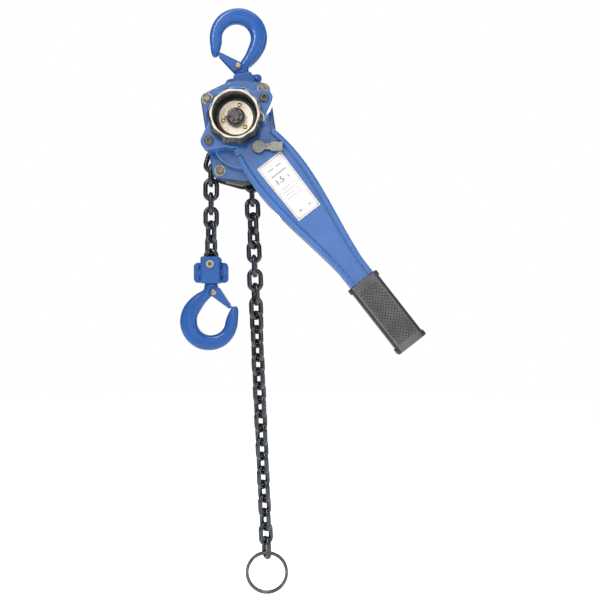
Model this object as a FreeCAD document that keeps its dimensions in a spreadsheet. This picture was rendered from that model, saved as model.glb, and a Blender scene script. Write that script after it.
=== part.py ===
"""Lever chain hoist, 1.5 tonne class, as a parametric FreeCAD document.

Millimetres. +Z is up and the hoist's front, with the hand wheel, faces -Y. The origin is the
middle of the top hook's saddle, where the hoist hangs. "Forward" below means towards -Y, and the
load chain lies in the plane Y = 0.
"""
import FreeCAD, Part
import math
import os
import Sketcher

V = FreeCAD.Vector
Y_AXIS = V(0, 1, 0)
Z_AXIS = V(0, 0, 1)
OUT_DIR = "parts"

doc = FreeCAD.newDocument("lever_hoist")
sheet = doc.addObject("Spreadsheet::Sheet", "dims")

DIMENSIONS = {
    # where the drive axis lies under the saddle, and how the pieces lean
    "drive_x": 6, "drive_z": -158, "body_tilt": 10, "lever_angle": 52,
    "load_lean": 16.4, "tail_lean_top": -7.3, "tail_lean_middle": 2,
    "tail_lean_low": 2.6, "tail_end_twist": 95.7,
    # load chain: wire, inside length, inside width, and the spacing the links hang at
    "wire": 7.1, "link_inside": 21.3, "link_inner_width": 9.8, "link_spacing": 21,
    # depth layout, distances forward of the chain plane
    "plate_near": 19, "plate_far": 24, "cover_near": 24.3, "cover_far": 44,
    "lever_near": 46, "lever_split": 60, "lever_face": 71, "rail_top": 74.5,
    "wheel_near": 76, "wheel_far": 105,
    "gear_cover_far": 58, "sheet_wall": 2.5,
    # stay bolts in the frame
    "bolt_left_x": -38.5, "bolt_right_x": 43.5, "bolt_upper_z": 47,
    "bolt_lower_x": 38.5, "bolt_lower_z": -59,
    "bolt_shank_radius": 4, "nut_across": 12, "nut_height": 6.5, "washer_radius": 8,
    # top and bottom hook fittings
    "top_pin_drop": 77, "top_pin_radius": 5, "yoke_half_depth": 16,
    "fitting_start": 55.5, "shank_radius": 9.3, "shank_nut_radius": 11, "shank_nut_height": 7,
    "fitting_floor": 4.6, "block_height": 40, "block_width": 29, "block_ear_reach": 25.5,
    "rivet_radius": 2.6, "yoke_ear_reach": 20.7, "ear_thickness": 5, "chain_pin_radius": 4,
    # hooks
    "hook_thickness": 18, "hook_bowl_radius": 21.5,
    "latch_pivot_x": 4.6, "latch_pivot_z": 42.2, "latch_rivet_radius": 2.5,
    # load sheave and gearing
    "sheave_pockets": 4, "sheave_hub_radius": 21, "gear_module": 1.5, "pinion_teeth": 10,
    "gear_teeth": 30, "gear_centres": 30, "gear_width": 7, "shaft_radius": 7,
    # brake
    "ratchet_teeth": 14, "ratchet_radius": 28.3, "friction_radius": 24,
    "pawl_post_angle": 150, "pawl_post_reach": 39.5, "pawl_sweep": 32,
    # lever, selector, grip
    "lever_head_radius": 40.5, "lever_screw_reach": 49, "lever_lobe_radius": 12,
    "lever_length": 400, "grip_start": 286, "grip_width": 45, "grip_depth": 27,
    "grip_core_near": 50, "grip_core_far": 70,
    "selector_reach": 50.5, "selector_hub_radius": 9,
    # hand wheel
    "wheel_rim_radius": 35.5, "wheel_base_radius": 39.5, "wheel_bore_radius": 30.3,
    "wheel_floor": 2.5, "wheel_plate_radius": 23.6, "wheel_plate_hole": 10.3, "wheel_screw_circle": 18,
    "boss_far": 85.2,
    # end ring
    "ring_outer_radius": 31.7, "ring_inner_radius": 27.1, "ring_width": 4.6,
}
for row, (alias, value) in enumerate(DIMENSIONS.items(), start=1):
    sheet.set("A%d" % row, alias)
    sheet.set("B%d" % row, str(value))
    sheet.setAlias("B%d" % row, alias)
doc.recompute()


def dim(alias):
    return float(getattr(sheet, alias))


DRIVE = V(dim("drive_x"), 0, dim("drive_z"))
AT_DRIVE = FreeCAD.Placement(DRIVE, FreeCAD.Rotation())
IN_FRAME = FreeCAD.Placement(DRIVE, FreeCAD.Rotation(V(0, -1, 0), dim("body_tilt")))
IN_LEVER = FreeCAD.Placement(DRIVE, FreeCAD.Rotation(Y_AXIS, dim("lever_angle")))
subparts = []


# ---------------------------------------------------------------- shared helpers
def keep(obj, label, placement=None):
    """Register a document object as a sub-part, and put it in its place."""
    obj.Label = label
    if placement is not None:
        obj.Placement = placement
    subparts.append(obj)
    return obj


def feature(label, shape, placement=None):
    """A sub-part whose shape comes straight from Part's functions."""
    obj = doc.addObject("Part::Feature", label)
    obj.Shape = shape
    return keep(obj, label, placement)


def new_body(label):
    return doc.addObject("PartDesign::Body", label)


def front_sketch(body, name, forward):
    """A sketch on the body's XZ plane: x is X, y is Z, and its normal points forward."""
    sketch = body.newObject("Sketcher::SketchObject", name)
    plane = [p for p in body.Origin.OriginFeatures if p.Role == "XZ_Plane"][0]
    sketch.AttachmentSupport = [(plane, "")]
    sketch.MapMode = "FlatFace"
    sketch.AttachmentOffset = FreeCAD.Placement(V(0, 0, forward), FreeCAD.Rotation())
    return sketch


def pad(body, name, edges, near, far):
    """Pad a closed outline from the distance near to the distance far, both forward."""
    sketch = front_sketch(body, name + "_sketch", near)
    sketch.addGeometry(edges, False)
    result = body.newObject("PartDesign::Pad", name)
    result.Profile = sketch
    result.Length = far - near
    body.Tip = result
    doc.recompute()
    return result


def pocket(body, name, edges, near, far):
    """Cut a closed outline out of the body between two distances forward."""
    sketch = front_sketch(body, name + "_sketch", far)
    sketch.addGeometry(edges, False)
    result = body.newObject("PartDesign::Pocket", name)
    result.Profile = sketch
    result.Length = far - near
    before = body.Shape.Volume
    body.Tip = result
    doc.recompute()
    if body.Shape.Volume >= before - 1e-3:
        raise RuntimeError("pocket %s cut nothing" % name)
    return result


def round_edges(body, name, radius, chosen):
    """Fillet the edges of the body's tip that chosen(edge) accepts."""
    tip = body.Tip
    names = ["Edge%d" % (i + 1) for i, edge in enumerate(tip.Shape.Edges) if chosen(edge)]
    fillet = body.newObject("PartDesign::Fillet", name)
    fillet.Base = (tip, names)
    fillet.Radius = radius
    body.Tip = fillet
    doc.recompute()
    if "Invalid" in fillet.State or fillet.Shape.isNull():
        raise RuntimeError("fillet %s failed" % name)
    return fillet


def flat_at(forward):
    """Chooses the edges that lie at one distance forward."""
    def chosen(edge):
        box = edge.BoundBox
        return abs(box.YMin + forward) < 1e-4 and abs(box.YMax + forward) < 1e-4
    return chosen


def circle(x, z, radius):
    return Part.Circle(V(x, z, 0), Z_AXIS, radius)


def polygon(points):
    """Straight edges through points (x, z), closed."""
    corners = [V(x, z, 0) for x, z in points]
    return [Part.LineSegment(a, b) for a, b in zip(corners, corners[1:] + corners[:1])]


def rectangle(x, z, width, height):
    half_w, half_h = width / 2, height / 2
    return polygon([(x - half_w, z - half_h), (x + half_w, z - half_h),
                    (x + half_w, z + half_h), (x - half_w, z + half_h)])


def belt(discs):
    """The outline that a tight belt makes around discs (x, z, radius), in clockwise order."""
    touches = []
    for (x1, z1, r1), (x2, z2, r2) in zip(discs, discs[1:] + discs[:1]):
        gap = math.hypot(x2 - x1, z2 - z1)
        heading = math.atan2(z2 - z1, x2 - x1)
        normal = heading + math.acos((r1 - r2) / gap)
        touches.append((V(x1 + r1 * math.cos(normal), z1 + r1 * math.sin(normal), 0),
                        V(x2 + r2 * math.cos(normal), z2 + r2 * math.sin(normal), 0)))
    edges = []
    for i, (x, z, radius) in enumerate(discs):
        arrive, leave = touches[i - 1][1], touches[i][0]
        start = math.atan2(arrive.y - z, arrive.x - x)
        end = math.atan2(leave.y - z, leave.x - x)
        if end > start:
            end -= 2 * math.pi
        middle = (start + end) / 2
        over = V(x + radius * math.cos(middle), z + radius * math.sin(middle), 0)
        edges.append(Part.Arc(arrive, over, leave))
        edges.append(Part.LineSegment(touches[i][0], touches[i][1]))
    return edges


def rod(x, z, radius, near, far):
    """A round bar along the depth, as a plain shape."""
    return Part.makeCylinder(radius, far - near, V(x, -near, z), V(0, -1, 0))


def hexagon_bar(x, z, across, near, far, turn=0):
    reach = across / 2 / math.cos(math.radians(30))
    points = []
    for i in range(6):
        angle = math.radians(60 * i + turn)
        points.append(V(x + reach * math.cos(angle), -near, z + reach * math.sin(angle)))
    face = Part.Face(Part.makePolygon(points + points[:1]))
    return face.extrude(V(0, near - far, 0))


def turned(profile, centre=V(0, 0, 0), axis=V(0, -1, 0)):
    """A turned piece: profile is (distance along the axis, radius) pairs of one closed outline."""
    side = V(1, 0, 0) if abs(axis.x) < 0.9 else Z_AXIS
    points = [centre + axis * along + side * radius for along, radius in profile]
    face = Part.Face(Part.makePolygon(points + points[:1]))
    return face.revolve(centre, axis, 360)


# ---------------------------------------------------------------- the load chain
WIRE = dim("wire") / 2
SPACING = dim("link_spacing")
# wire centre to wire centre along a flat link, and along an upright link between its neighbours
REACH_FLAT = SPACING + dim("wire")
REACH_UPRIGHT = SPACING - dim("wire")


def make_link():
    """One link, its length along Z and its loop in the XZ plane, centred on the origin."""
    bend = (dim("link_inner_width") + dim("wire")) / 2
    half_straight = (dim("link_inside") + dim("wire")) / 2 - bend
    section = Part.Face(Part.Wire(Part.Circle(V(bend, 0, -half_straight), Z_AXIS, WIRE).toShape()))
    side = section.extrude(V(0, 0, 2 * half_straight))
    other_side = side.translated(V(-2 * bend, 0, 0))
    top = section.translated(V(0, 0, 2 * half_straight)).revolve(V(0, 0, half_straight), V(0, -1, 0), 180)
    bottom = section.revolve(V(0, 0, -half_straight), Y_AXIS, 180)
    return side.fuse([top, other_side, bottom]).removeSplitter()


LINK = make_link()


def placed_link(middle, direction, twist):
    """The link centred on middle, its length along direction, its loop turned by twist degrees.

    At twist 0 the loop faces forward; at 90 it is seen edge-on from the front.
    """
    link = LINK.copy()
    turn = FreeCAD.Rotation(direction, twist).multiply(FreeCAD.Rotation(V(0, 0, -1), direction))
    link.Placement = FreeCAD.Placement(middle, turn)
    return link


def hanging_run(label, start, lean, twists, first_reach):
    """Links in a straight line down from start, leaning lean degrees towards +X.

    first_reach is the first link's reach between wire centres. Returns the line's direction and
    the middle of its last link.
    """
    angle = math.radians(lean)
    direction = V(math.sin(angle), 0, -math.cos(angle))
    middles = [start + direction * (first_reach / 2 + i * SPACING) for i in range(len(twists))]
    links = [placed_link(middle, direction, twist) for middle, twist in zip(middles, twists)]
    feature(label, Part.makeCompound(links), AT_DRIVE)
    return direction, middles[-1]


def pitch_angles():
    """Half the angle that a flat and an upright link take up on the sheave, and its pitch radius."""
    share = math.pi / dim("sheave_pockets")
    ratio = REACH_FLAT / REACH_UPRIGHT
    flat = math.atan(ratio * math.sin(share) / (1 + ratio * math.cos(share)))
    return flat, share - flat, REACH_FLAT / (2 * math.sin(flat))


FLAT_HALF, UPRIGHT_HALF, PITCH_RADIUS = pitch_angles()


def on_sheave(angle):
    return V(PITCH_RADIUS * math.cos(angle), 0, PITCH_RADIUS * math.sin(angle))


def wrapped_links():
    """The four links that lie over the sheave, from its left side to its right side."""
    links = []
    angle = math.pi
    for half, twist in ((FLAT_HALF, 90), (UPRIGHT_HALF, 0)) * 2:
        left, right = on_sheave(angle), on_sheave(angle - 2 * half)
        links.append(placed_link((left + right) / 2, (right - left).normalize(), twist))
        angle -= 2 * half
    feature("wrapped_links", Part.makeCompound(links), AT_DRIVE)


def load_run():
    """The run that carries the bottom block: it leans out of the frame and then hangs plumb.

    Returns the middle of its last link.
    """
    direction, last = hanging_run("load_links_upper", on_sheave(math.pi), -dim("load_lean"),
                                  [0, 90, 0], REACH_UPRIGHT)
    knee = last + direction * (REACH_UPRIGHT / 2)
    twists = [90, 180, 268, 340, 412, 485, 558]
    return hanging_run("load_links_lower", knee, 0, twists, REACH_FLAT)[1]


def tail_run():
    """The slack run, in three stretches. Returns the middle of its lowest bend's wire."""
    start = on_sheave(0)
    direction, last = hanging_run("tail_links_top", start, dim("tail_lean_top"),
                                  [90, 180, 270, 360], REACH_FLAT)
    first_knee = last + direction * (REACH_UPRIGHT / 2)
    direction, last = hanging_run("tail_links_middle", first_knee, dim("tail_lean_middle"),
                                  [90, 162, 234, 306, 378, 452, 536, 609, 682, 756, 850, 945], REACH_FLAT)
    second_knee = last + direction * (REACH_UPRIGHT / 2)
    twists = [135 + 90 * i for i in range(11)]
    for _ in range(3):
        twists.append(twists[-1] + dim("tail_end_twist"))
    direction, last = hanging_run("tail_links_low", second_knee, dim("tail_lean_low"),
                                  twists, REACH_FLAT)
    return last + direction * ((dim("link_inside") + dim("wire")) / 2)


def end_ring(last_wire):
    """A flat-section ring that hangs on the last link's lower bend."""
    centre = last_wire + V(0, 0, WIRE + 0.8 - dim("ring_inner_radius"))
    half = dim("ring_width") / 2
    outer, inner = dim("ring_outer_radius"), dim("ring_inner_radius")
    edge = 0.8
    profile = [(-half, inner + edge), (-half, outer - edge), (edge - half, outer), (half - edge, outer),
               (half, outer - edge), (half, inner + edge), (half - edge, inner), (edge - half, inner)]
    feature("end_ring", turned(profile, centre), AT_DRIVE)


# ---------------------------------------------------------------- hooks, latches and fittings
# A hook's own frame has its bowl's centre at the origin, its shank up and its point at +X.
PIVOT = V(dim("latch_pivot_x"), 0, dim("latch_pivot_z"))
TOP_BOWL = V(0, 0, -dim("hook_bowl_radius"))
UPSIDE_DOWN = FreeCAD.Rotation(V(0, -1, 0), dim("body_tilt")).multiply(FreeCAD.Rotation(Y_AXIS, 180))
AT_TOP_HOOK = FreeCAD.Placement(TOP_BOWL, UPSIDE_DOWN)


def hook_sections():
    """Stations round the hook, from the neck to the point, in plain numbers.

    Each is (inner point, outer point, half depth), the points as (x, z) in the hook's own frame.
    """
    bowl = dim("hook_bowl_radius")
    deep = dim("hook_thickness") / 2
    neck = dim("shank_radius") + 0.6

    def on_bowl(degrees):
        angle = math.radians(degrees)
        return bowl * math.cos(angle), bowl * math.sin(angle)

    return [
        ((neck, 54), (-neck, 54), neck),
        ((6, 43), (-12.8, 45), neck),
        ((-3.5, 32.5), (-21, 40.5), deep),
        ((-12, 22), (-33.5, 30), deep),
        (on_bowl(158), (-43.5, 14), deep),
        (on_bowl(182), (-46.2, -3), deep),
        (on_bowl(215), (-38.5, -25.5), deep),
        (on_bowl(245), (-21.5, -40), deep),
        (on_bowl(275), (-0.5, -43.8), deep),
        (on_bowl(305), (19.5, -37.5), deep - 0.6),
        (on_bowl(332), (33.2, -23.2), deep - 1.2),
        (on_bowl(358), (39.2, -6), deep - 2),
        ((24.6, 8.5), (40.2, 6.5), deep - 2.8),
        ((28.6, 16.2), (40.4, 15.5), deep - 3.8),
        ((32.4, 21.6), (38.2, 21.4), deep - 6),
    ]


def section_wire(inner, outer, half_depth):
    """A rounded-square section between two points, closed and smooth."""
    a, b = V(inner[0], 0, inner[1]), V(outer[0], 0, outer[1])
    middle, half = (a + b) / 2, (b - a) / 2
    points = []
    for i in range(12):
        angle = math.radians(30 * i + 15)
        c, s = math.cos(angle), math.sin(angle)
        squareness = (abs(c) ** 2.7 + abs(s) ** 2.7) ** (-1 / 2.7)
        points.append(middle + half * (c * squareness) + V(0, s * squareness * half_depth, 0))
    curve = Part.BSplineCurve()
    curve.interpolate(points, PeriodicFlag=True)
    return Part.Wire(curve.toShape())


def make_hook():
    """The forged hook with its round shank, and the web that the latch straddles."""
    wires = [section_wire(*section) for section in hook_sections()]
    forging = Part.makeLoft(wires, True, False)
    web = 6.1
    for side in (-1, 1):
        start = V(PIVOT.x + 2, side * web, PIVOT.z)
        forging = forging.cut(Part.makeCylinder(9.5, 20, start, V(0, side, 0)))
    lug = rod(PIVOT.x, PIVOT.z, 6.4, -web, web)
    floor_top = dim("fitting_start") + dim("fitting_floor")
    shank = Part.makeCylinder(dim("shank_radius"), floor_top - 52, V(0, 0, 52))
    thread = Part.makeCylinder(7.5, dim("shank_nut_height") + 3, V(0, 0, floor_top - 2.5))
    bore = rod(PIVOT.x, PIVOT.z, dim("latch_rivet_radius"), -20, 20)
    return forging.fuse([lug, shank, thread]).cut(bore).removeSplitter()


def make_latch():
    """A folded strip: two cheeks on the web's sides, joined beyond it, ending inside the point."""
    near, far = 6.4, 8.4
    tip_x, tip_z, tip_r = 27.8, 20.9, 2.6
    cheek_edges = belt([(PIVOT.x, PIVOT.z, 6.2), (10.8, 47.6, 2.2), (tip_x, tip_z, tip_r)])
    cheek = Part.Face(Part.Wire([e.toShape() for e in cheek_edges]))
    cheek.rotate(V(0, 0, 0), V(1, 0, 0), 90)
    front = cheek.extrude(V(0, near - far, 0)).translated(V(0, -near, 0))
    rear = cheek.extrude(V(0, far - near, 0)).translated(V(0, near, 0))
    along = V(tip_x, 0, tip_z) - PIVOT
    bridge_start = PIVOT + along * 0.55
    bridge_edges = belt([(bridge_start.x, bridge_start.z, 3.2), (tip_x, tip_z, tip_r)])
    bridge = Part.Face(Part.Wire([e.toShape() for e in bridge_edges]))
    bridge.rotate(V(0, 0, 0), V(1, 0, 0), 90)
    bridge = bridge.extrude(V(0, 2 * near, 0)).translated(V(0, -near, 0))
    bore = rod(PIVOT.x, PIVOT.z, dim("latch_rivet_radius") + 0.06, -20, 20)
    return front.fuse([rear, bridge]).cut(bore).removeSplitter()


def hook_set(prefix, placement):
    """Hook, latch, latch rivet and shank nut, as one set of sub-parts."""
    feature(prefix + "_hook", make_hook(), placement)
    feature(prefix + "_latch", make_latch(), placement)
    radius = dim("latch_rivet_radius")
    head = 4.2
    rivet = turned([(-10.2, 0), (-10.2, 2.6), (-9.6, 3.8), (-8.7, head), (-8.7, radius), (8.7, radius),
                    (8.7, head), (9.6, 3.8), (10.2, 2.6), (10.2, 0)], PIVOT)
    feature(prefix + "_latch_rivet", rivet, placement)
    low = dim("fitting_start") + dim("fitting_floor") + 0.15
    nut = Part.makeCylinder(dim("shank_nut_radius"), dim("shank_nut_height"), V(0, 0, low))
    nut = nut.makeChamfer(1, [e for e in nut.Edges if e.BoundBox.ZLength < 1e-4])
    nut = nut.cut(Part.makeCylinder(7.5, 40, V(0, 0, 50)))
    feature(prefix + "_shank_nut", nut, placement)


def fitting_half(outline_discs, ears, cavities, forward):
    """One half of a riveted fitting: a deep middle, thin ears, and cavities cut out."""
    depth = dim("yoke_half_depth")
    middle = Part.Face(Part.Wire([e.toShape() for e in belt(outline_discs)]))
    middle.rotate(V(0, 0, 0), V(1, 0, 0), 90)
    middle = middle.extrude(V(0, -depth, 0))
    rims = [e for e in middle.Edges if abs(e.BoundBox.YMax + depth) < 1e-4]
    middle = middle.makeFillet(3, rims)
    for ear in ears:
        flange = Part.Face(Part.Wire([e.toShape() for e in belt(ear)]))
        flange.rotate(V(0, 0, 0), V(1, 0, 0), 90)
        flange = flange.extrude(V(0, -dim("ear_thickness"), 0))
        flange = flange.makeFillet(1.5, [e for e in flange.Edges
                                         if abs(e.BoundBox.YMax + dim("ear_thickness")) < 1e-4])
        middle = middle.fuse(flange)
    half = middle if forward else middle.mirror(V(0, 0, 0), Y_AXIS)
    for cavity in cavities:
        half = half.cut(cavity)
    return half.removeSplitter()


def shank_cavities():
    """Room for the shank's neck and for its nut, the same in both fittings."""
    start = dim("fitting_start")
    neck = Part.makeCylinder(dim("shank_radius") + 0.08, 20, V(0, 0, start - 8))
    pocket_low = start + dim("fitting_floor")
    seat = Part.makeCylinder(dim("shank_nut_radius") + 0.3, dim("shank_nut_height") + 1,
                             V(0, 0, pocket_low))
    return [neck, seat]


def fitting_rivets(label, spots, placement):
    """Domed rivets through both halves' ears."""
    radius, reach = dim("rivet_radius"), dim("ear_thickness")
    rivets = []
    for x, z in spots:
        profile = [(-reach - 2, 0), (-reach - 1.4, 2.8), (-reach, 4.2), (-reach, radius), (reach, radius),
                   (reach, 4.2), (reach + 1.4, 2.8), (reach + 2, 0)]
        rivets.append(turned(profile, V(x, 0, z)))
    feature(label, Part.makeCompound(rivets), placement)


def top_yoke():
    """The fitting between the top hook and the frame, and the pin that the frame hangs on."""
    start, pin_z = dim("fitting_start"), dim("top_pin_drop")
    ear_x, ear_z = dim("yoke_ear_reach"), start + 9.5
    discs = [(-9, start + 5, 5), (9, start + 5, 5), (9, pin_z, 9), (-9, pin_z, 9)][::-1]
    ears = [[(side * 8, ear_z, 7), (side * ear_x, ear_z, 6.4)] for side in (-1, 1)]
    spots = [(-ear_x, ear_z), (ear_x, ear_z)]
    holes = [rod(x, z, dim("rivet_radius"), -20, 20) for x, z in spots]
    holes.append(rod(0, pin_z, dim("top_pin_radius"), -20, 20))
    for name, forward in (("top_yoke_front", True), ("top_yoke_rear", False)):
        half = fitting_half(discs, ears, shank_cavities() + holes, forward)
        feature(name, half, AT_TOP_HOOK)
    fitting_rivets("top_yoke_rivets", spots, AT_TOP_HOOK)
    reach = dim("plate_far") - 0.2
    pin = doc.addObject("Part::Cylinder", "top_pin")
    pin.setExpression("Radius", "dims.top_pin_radius")
    pin.Height = 2 * reach
    local = FreeCAD.Placement(V(0, -reach, pin_z), FreeCAD.Rotation(V(1, 0, 0), -90))
    keep(pin, "top_pin", AT_TOP_HOOK.multiply(local))


def bottom_block(last_link):
    """The fitting between the load chain's last link and the bottom hook, with its chain pin.

    Returns its place, which the bottom hook shares.
    """
    start, tall = dim("fitting_start"), dim("block_height")
    wide = dim("block_width") / 2
    pin_in_link = last_link + V(0, 0, dim("chain_pin_radius") + 0.3 - dim("link_inside") / 2)
    pin_z = start + tall - 11.5
    place = FreeCAD.Placement(DRIVE + pin_in_link - V(0, 0, pin_z), FreeCAD.Rotation())
    corner = 3.5
    discs = [(-wide + corner, start + corner, corner), (-wide + corner, start + tall - corner, corner),
             (wide - corner, start + tall - corner, corner), (wide - corner, start + corner, corner)]
    ear_x, ear_low, ear_high = dim("block_ear_reach") - 6, start + 7, start + tall - 15
    ears = [[(side * ear_x, ear_low, 6), (side * ear_x, ear_high, 6), (side * 10, ear_high, 6),
             (side * 10, ear_low, 6)][::-side] for side in (-1, 1)]
    spots = [(side * ear_x, z) for side in (-1, 1) for z in (ear_low + 0.5, ear_high - 0.5)]
    slot_low = start + dim("fitting_floor") + dim("shank_nut_height")
    slot = Part.makeBox(25, 14.4, tall, V(-12.5, -7.2, slot_low))
    swing_room = Part.makeBox(2 * wide + 2, 14.4, tall, V(-wide - 1, -7.2, pin_z))
    holes = [rod(x, z, dim("rivet_radius"), -20, 20) for x, z in spots]
    holes += [rod(0, pin_z, dim("chain_pin_radius"), -20, 20), swing_room]
    for name, forward in (("bottom_block_front", True), ("bottom_block_rear", False)):
        half = fitting_half(discs, ears, shank_cavities() + holes + [slot], forward)
        feature(name, half, place)
    fitting_rivets("bottom_block_rivets", spots, place)
    depth, radius = dim("yoke_half_depth"), dim("chain_pin_radius")
    pin = rod(0, pin_z, radius, -depth - 5, depth)
    washer = rod(0, pin_z, 5.6, depth, depth + 1)
    head = hexagon_bar(0, pin_z, 8, depth + 1, depth + 4.5, 20)
    nut = hexagon_bar(0, pin_z, 8, -depth - 4.5, -depth)
    feature("chain_pin", pin.fuse([washer, head, nut]).removeSplitter(), place)
    return place


# ---------------------------------------------------------------- frame: plates, covers, bolts
# These are drawn upright round the drive axis, and IN_FRAME leans them.
def bolt_spots():
    low_x, low_z = dim("bolt_lower_x"), dim("bolt_lower_z")
    high_z = dim("bolt_upper_z")
    return [(dim("bolt_left_x"), high_z), (dim("bolt_right_x"), high_z), (low_x, low_z), (-low_x, low_z)]


def frame_outline(grow, bottom):
    """The frame's outline: a lobe round each bolt, a domed top and a round bottom."""
    (ul, top), (ur, _), (lr, low), (ll, _) = bolt_spots()
    return belt([(ul, top, 8.5 + grow), (4, 26.5, 40 + grow), (ur, top, 8.5 + grow),
                 (lr, low, 10.5 + grow), (0, -42, 38 + bottom), (ll, low, 10.5 + grow)])


def bolt_holes(radius):
    return [circle(x, z, radius) for x, z in bolt_spots()]


def pin_hole_spot():
    """The top pin, seen in the frame's own upright axes."""
    pin = AT_TOP_HOOK.multVec(V(0, 0, dim("top_pin_drop")))
    local = IN_FRAME.inverse().multVec(pin)
    return local.x, local.z


def side_plates():
    """Two steel plates that carry the sheave's bearings, the top pin and the stay bolts."""
    near, far = dim("plate_near"), dim("plate_far")
    gears = dim("gear_centres")
    for name, low, high in (("side_plate_front", near, far), ("side_plate_rear", -far, -near)):
        body = new_body(name)
        holes = bolt_holes(dim("bolt_shank_radius")) + [circle(0, 0, 23)]
        holes.append(circle(*pin_hole_spot(), dim("top_pin_radius") + 0.05))
        if low > 0:
            holes += [circle(x, z, 3) for x, z in pawl_pivots()]
        else:
            holes += [circle(0, side * gears, 5.06) for side in (-1, 1)]
        pad(body, name + "_blank", frame_outline(1.5, 6) + holes, low, high)
        keep(body, name, IN_FRAME)


def cup_cover(name, direction, raised, depth, hub_hole):
    """A pressed cover: a flange under the stay nuts and a raised cup with a rounded rim."""
    wall = dim("sheet_wall")
    seat = dim("cover_near")

    def span(a, b):
        return (a, b) if direction > 0 else (-b, -a)

    body = new_body(name)
    pad(body, name + "_flange", frame_outline(0, 0) + bolt_holes(dim("bolt_shank_radius")),
        *span(seat, seat + wall))
    bolt_reach = 2 * dim("bolt_shank_radius") + 1
    round_edges(body, name + "_flange_rim", 1.2, lambda e: flat_at(direction * (seat + wall))(e)
                and max(e.BoundBox.XLength, e.BoundBox.ZLength) > bolt_reach)
    pad(body, name + "_cup", belt(raised), *span(seat, depth))
    round_edges(body, name + "_rim", 4, flat_at(direction * depth))
    inner = [(x, z, radius - wall) for x, z, radius in raised]
    pocket(body, name + "_inside", belt(inner), *span(seat, depth - wall))
    if hub_hole:
        pocket(body, name + "_hub_hole", [circle(0, 0, hub_hole)], *span(seat, depth))
    else:
        for side in (-1, 1):
            pocket(body, name + "_spindle_seat_%d" % (side + 1),
                   [circle(0, side * dim("gear_centres"), 5.06)], *span(seat, depth - 0.8))
    return keep(body, name, IN_FRAME)


def stay_hardware():
    """Stay bolts with spacing collars, and a flanged nut on each end."""
    near, far = dim("plate_near"), dim("plate_far")
    radius = dim("bolt_shank_radius")
    face = dim("cover_near") + dim("sheet_wall")
    height, washer = dim("nut_height"), dim("washer_radius")
    bolts, nuts = [], []
    for x, z in bolt_spots():
        bolt = rod(x, z, radius, -face - height - 1.5, face + height + 1.5)
        for side in (-1, 1):
            collar = rod(x, z, radius + 1.5, *sorted((side * (near - 2), side * near)))
            bolt = bolt.fuse(collar)
        bolts.append(bolt.removeSplitter())
        for side in (-1, 1):
            flange = rod(x, z, washer, *sorted((side * face, side * (face + 1.5))))
            ends = sorted((side * (face + 1.5), side * (face + height)))
            nut = hexagon_bar(x, z, dim("nut_across"), *ends, 12)
            nuts.append(flange.fuse(nut).cut(rod(x, z, radius, -60, 60)).removeSplitter())
    feature("stay_bolts", Part.makeCompound(bolts), IN_FRAME)
    feature("stay_nuts", Part.makeCompound(nuts), IN_FRAME)


def chain_guides():
    """The curved lower guide and the stripper that lifts links out of the sheave."""
    near = dim("plate_near") - 0.1
    body = new_body("chain_guide")
    pad(body, "chain_guide_strip", polygon([(-34, -68), (-11, -78), (-11, -82), (-35, -72)]), -near, near)
    keep(body, "chain_guide", IN_FRAME)
    body = new_body("chain_stripper")
    pad(body, "chain_stripper_bar", belt([(-6, -42, 4.5), (-6.2, -42, 4.5)]), -near, near)
    pad(body, "chain_stripper_tongue", polygon([(-4, -16), (2.5, -16), (-2, -44), (-10, -44)]), -2.5, 2.5)
    keep(body, "chain_stripper", IN_FRAME)


def sheave_bearings():
    rings = []
    near, far = dim("plate_near"), dim("plate_far")
    for low, high in ((near, far), (-far, -near)):
        ring = rod(0, 0, 23, low, high).cut(rod(0, 0, 17.05, low - 1, high + 1))
        rings.append(ring)
    feature("sheave_bearings", Part.makeCompound(rings), IN_FRAME)


# ---------------------------------------------------------------- sheave and gears
def involute_wire(teeth, first_tooth):
    """A spur gear's outline: involute flanks at 25 degrees, stub teeth with a little backlash."""
    module, pressure = dim("gear_module"), math.radians(25)
    pitch = module * teeth / 2
    base, tip, root = pitch * math.cos(pressure), pitch + 0.8 * module, pitch - 1.1 * module
    backlash = 0.14
    involute_at_pitch = math.tan(pressure) - pressure
    half_tooth = math.pi / (2 * teeth) - backlash / (2 * pitch) + involute_at_pitch

    def flank_angle(radius):
        if radius <= base:
            return half_tooth
        a = math.acos(base / radius)
        return half_tooth - (math.tan(a) - a)

    def at(radius, angle):
        return V(radius * math.cos(angle), radius * math.sin(angle), 0)

    start = max(base, root)
    radii = [start + (tip - start) * i / 4 for i in range(5)]
    edges = []
    step = 2 * math.pi / teeth
    for i in range(teeth):
        mid = math.radians(first_tooth) + i * step
        up = [at(r, mid - flank_angle(r)) for r in radii]
        down = [at(r, mid + flank_angle(r)) for r in radii][::-1]
        if root < base:
            edges.append(Part.LineSegment(at(root, mid - flank_angle(root)), up[0]))
        for side in (up, down):
            curve = Part.BSplineCurve()
            curve.interpolate(side)
            if side is down:
                edges.append(Part.Arc(up[-1], at(tip, mid), down[0]))
            edges.append(curve)
        root_angle = mid + flank_angle(root)
        if root < base:
            edges.append(Part.LineSegment(down[-1], at(root, root_angle)))
        next_angle = mid + step - flank_angle(root)
        edges.append(Part.Arc(at(root, root_angle), at(root, (root_angle + next_angle) / 2),
                              at(root, next_angle)))
    return edges


def toothed(teeth, first_tooth, x, z, near, far):
    """A spur gear blank standing at (x, z) between two distances forward."""
    wire = Part.Wire([edge.toShape() for edge in involute_wire(teeth, first_tooth)])
    face = Part.Face(wire)
    face.rotate(V(0, 0, 0), V(1, 0, 0), 90)
    return face.extrude(V(0, near - far, 0)).translated(V(x, -near, z))


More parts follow.
